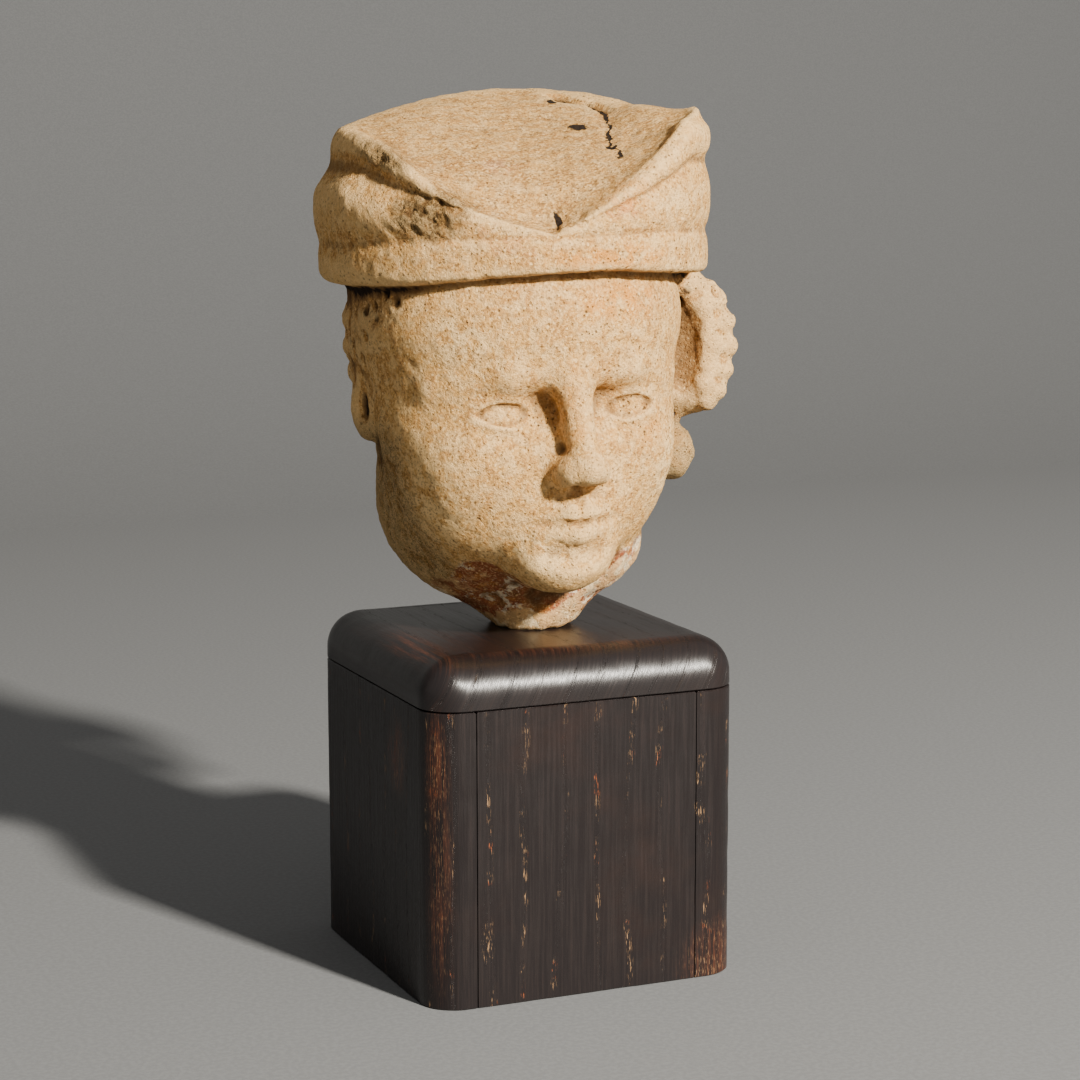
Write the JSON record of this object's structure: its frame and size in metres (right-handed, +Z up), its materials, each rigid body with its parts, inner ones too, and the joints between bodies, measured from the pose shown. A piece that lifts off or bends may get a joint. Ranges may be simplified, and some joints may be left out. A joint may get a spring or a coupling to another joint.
{
  "type": "stucco head on a wooden block",
  "caption": "Broken stucco head in a wound turban, with a calm face and the stub of its neck, standing on a dark hollow oak block.",
  "frame": {"origin": "middle of the block's underside", "axes": "+Z up, -Y out of the block's front and the way the face looks, +X to the viewer's right"},
  "size_m": [0.1308, 0.1204, 0.265],
  "materials": {
    "stucco": "matt, sandy, pitted",
    "oak": "dark stain, waxed, worn at the edges"
  },
  "bodies": {
    "root": {"head": "stucco", "stand_top": "oak", "stand_side_left": "oak", "stand_side_right": "oak", "stand_front": "oak", "stand_back": "oak", "stand_floor": "oak"}
  },
  "joints": []
}
